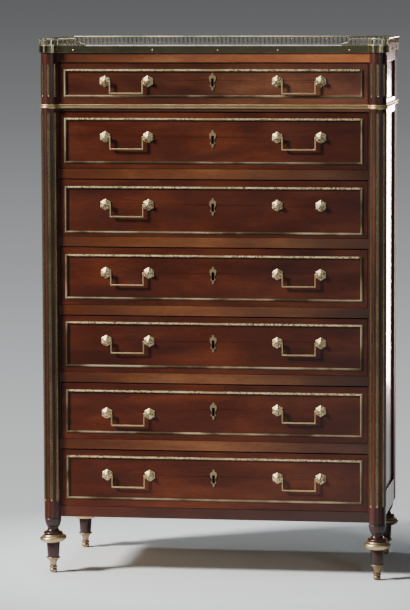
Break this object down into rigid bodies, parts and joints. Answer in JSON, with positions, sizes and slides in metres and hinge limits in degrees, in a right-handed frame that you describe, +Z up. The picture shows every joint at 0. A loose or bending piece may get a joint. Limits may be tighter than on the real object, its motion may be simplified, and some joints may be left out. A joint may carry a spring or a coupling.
{
  "type": "semainier",
  "caption": "Tall chest of drawers with round fluted corner columns, turned feet, a marble top in a pierced gallery, sliding drawers, swinging bails and lock bolts.",
  "frame": {"origin": "on the floor, in the middle of the plan's bounding box", "axes": "+Z up, +X to the viewer's right when facing the drawers, +Y towards the back; the drawers open towards -Y"},
  "size_m": [0.985, 0.4848, 1.492],
  "materials": {
    "mahogany": "french polished",
    "mahogany_rail": "french polished",
    "oak": "plain",
    "brass": "aged, polished",
    "marble": "polished",
    "steel": "aged"
  },
  "bodies": {
    "cabinet": {"column_right": "mahogany", "column_left": "mahogany", "rear_stiles": "mahogany", "side_right": "mahogany", "side_left": "mahogany", "front_rails": "mahogany_rail", "back_panel": "oak", "drawer_runners": "oak", "bottom_board": "oak", "top_board": "oak", "flute_liners": "brass", "marble_top": "marble", "top_band": "brass", "band_pins": "brass", "gallery": "brass", "waist_moulding": "brass", "feet": "mahogany", "foot_rings": "brass", "foot_sabots": "brass"},
    "drawer_7": {"drawer_7_front": "mahogany", "drawer_7_box": "oak", "drawer_7_brasswork": "brass"},
    "lock_bolt_7": {"lock_bolt_7": "steel"},
    "bail_7_left": {"bail_7_left": "brass"},
    "bail_7_right": {"bail_7_right": "brass"},
    "drawer_6": {"drawer_6_front": "mahogany", "drawer_6_box": "oak", "drawer_6_brasswork": "brass"},
    "lock_bolt_6": {"lock_bolt_6": "steel"},
    "bail_6_left": {"bail_6_left": "brass"},
    "bail_6_right": {"bail_6_right": "brass"},
    "drawer_5": {"drawer_5_front": "mahogany", "drawer_5_box": "oak", "drawer_5_brasswork": "brass"},
    "lock_bolt_5": {"lock_bolt_5": "steel"},
    "bail_5_left": {"bail_5_left": "brass"},
    "bail_5_right": {"bail_5_right": "brass"},
    "drawer_4": {"drawer_4_front": "mahogany", "drawer_4_box": "oak", "drawer_4_brasswork": "brass"},
    "lock_bolt_4": {"lock_bolt_4": "steel"},
    "bail_4_left": {"bail_4_left": "brass"},
    "bail_4_right": {"bail_4_right": "brass"},
    "drawer_3": {"drawer_3_front": "mahogany", "drawer_3_box": "oak", "drawer_3_brasswork": "brass"},
    "lock_bolt_3": {"lock_bolt_3": "steel"},
    "bail_3_left": {"bail_3_left": "brass"},
    "drawer_2": {"drawer_2_front": "mahogany", "drawer_2_box": "oak", "drawer_2_brasswork": "brass"},
    "lock_bolt_2": {"lock_bolt_2": "steel"},
    "bail_2_left": {"bail_2_left": "brass"},
    "bail_2_right": {"bail_2_right": "brass"},
    "drawer_1": {"drawer_1_front": "mahogany", "drawer_1_box": "oak", "drawer_1_brasswork": "brass"},
    "lock_bolt_1": {"lock_bolt_1": "steel"},
    "bail_1_left": {"bail_1_left": "brass"},
    "bail_1_right": {"bail_1_right": "brass"}
  },
  "joints": [
    {"name": "drawer_7_slide", "type": "slide", "parent": "cabinet", "child": "drawer_7", "axis": [0, -1, 0], "range_m": [0, 0.3]},
    {"name": "lock_bolt_7_throw", "type": "slide", "parent": "drawer_7", "child": "lock_bolt_7", "axis": [0, 0, 1], "range_m": [0, 0.009]},
    {"name": "bail_7_left_hinge", "type": "hinge", "parent": "drawer_7", "child": "bail_7_left", "pos_m": [-0.239, -0.2187, 0.28], "axis": [-1, 0, 0], "range_deg": [-10, 150]},
    {"name": "bail_7_right_hinge", "type": "hinge", "parent": "drawer_7", "child": "bail_7_right", "pos_m": [0.239, -0.2187, 0.28], "axis": [-1, 0, 0], "range_deg": [-10, 150]},
    {"name": "drawer_6_slide", "type": "slide", "parent": "cabinet", "child": "drawer_6", "axis": [0, -1, 0], "range_m": [0, 0.3]},
    {"name": "lock_bolt_6_throw", "type": "slide", "parent": "drawer_6", "child": "lock_bolt_6", "axis": [0, 0, 1], "range_m": [0, 0.009]},
    {"name": "bail_6_left_hinge", "type": "hinge", "parent": "drawer_6", "child": "bail_6_left", "pos_m": [-0.239, -0.2187, 0.4534], "axis": [-1, 0, 0], "range_deg": [-10, 150]},
    {"name": "bail_6_right_hinge", "type": "hinge", "parent": "drawer_6", "child": "bail_6_right", "pos_m": [0.239, -0.2187, 0.4684], "axis": [-1, 0, 0], "range_deg": [-10, 150]},
    {"name": "drawer_5_slide", "type": "slide", "parent": "cabinet", "child": "drawer_5", "axis": [0, -1, 0], "range_m": [0, 0.3]},
    {"name": "lock_bolt_5_throw", "type": "slide", "parent": "drawer_5", "child": "lock_bolt_5", "axis": [0, 0, 1], "range_m": [0, 0.009]},
    {"name": "bail_5_left_hinge", "type": "hinge", "parent": "drawer_5", "child": "bail_5_left", "pos_m": [-0.239, -0.2187, 0.65605], "axis": [-1, 0, 0], "range_deg": [-10, 150]},
    {"name": "bail_5_right_hinge", "type": "hinge", "parent": "drawer_5", "child": "bail_5_right", "pos_m": [0.239, -0.2187, 0.65605], "axis": [-1, 0, 0], "range_deg": [-10, 150]},
    {"name": "drawer_4_slide", "type": "slide", "parent": "cabinet", "child": "drawer_4", "axis": [0, -1, 0], "range_m": [0, 0.3]},
    {"name": "lock_bolt_4_throw", "type": "slide", "parent": "drawer_4", "child": "lock_bolt_4", "axis": [0, 0, 1], "range_m": [0, 0.009]},
    {"name": "bail_4_left_hinge", "type": "hinge", "parent": "drawer_4", "child": "bail_4_left", "pos_m": [-0.239, -0.2187, 0.8452], "axis": [-1, 0, 0], "range_deg": [-10, 150]},
    {"name": "bail_4_right_hinge", "type": "hinge", "parent": "drawer_4", "child": "bail_4_right", "pos_m": [0.239, -0.2187, 0.8452], "axis": [-1, 0, 0], "range_deg": [-10, 150]},
    {"name": "drawer_3_slide", "type": "slide", "parent": "cabinet", "child": "drawer_3", "axis": [0, -1, 0], "range_m": [0, 0.3]},
    {"name": "lock_bolt_3_throw", "type": "slide", "parent": "drawer_3", "child": "lock_bolt_3", "axis": [0, 0, 1], "range_m": [0, 0.009]},
    {"name": "bail_3_left_hinge", "type": "hinge", "parent": "drawer_3", "child": "bail_3_left", "pos_m": [-0.239, -0.2187, 1.03435], "axis": [-1, 0, 0], "range_deg": [-10, 150]},
    {"name": "drawer_2_slide", "type": "slide", "parent": "cabinet", "child": "drawer_2", "axis": [0, -1, 0], "range_m": [0, 0.3]},
    {"name": "lock_bolt_2_throw", "type": "slide", "parent": "drawer_2", "child": "lock_bolt_2", "axis": [0, 0, 1], "range_m": [0, 0.009]},
    {"name": "bail_2_left_hinge", "type": "hinge", "parent": "drawer_2", "child": "bail_2_left", "pos_m": [-0.239, -0.2187, 1.221], "axis": [-1, 0, 0], "range_deg": [-10, 150]},
    {"name": "bail_2_right_hinge", "type": "hinge", "parent": "drawer_2", "child": "bail_2_right", "pos_m": [0.239, -0.2187, 1.221], "axis": [-1, 0, 0], "range_deg": [-10, 150]},
    {"name": "drawer_1_slide", "type": "slide", "parent": "cabinet", "child": "drawer_1", "axis": [0, -1, 0], "range_m": [0, 0.3]},
    {"name": "lock_bolt_1_throw", "type": "slide", "parent": "drawer_1", "child": "lock_bolt_1", "axis": [0, 0, 1], "range_m": [0, 0.009]},
    {"name": "bail_1_left_hinge", "type": "hinge", "parent": "drawer_1", "child": "bail_1_left", "pos_m": [-0.239, -0.2187, 1.374], "axis": [-1, 0, 0], "range_deg": [-10, 150]},
    {"name": "bail_1_right_hinge", "type": "hinge", "parent": "drawer_1", "child": "bail_1_right", "pos_m": [0.239, -0.2187, 1.374], "axis": [-1, 0, 0], "range_deg": [-10, 150]}
  ]
}
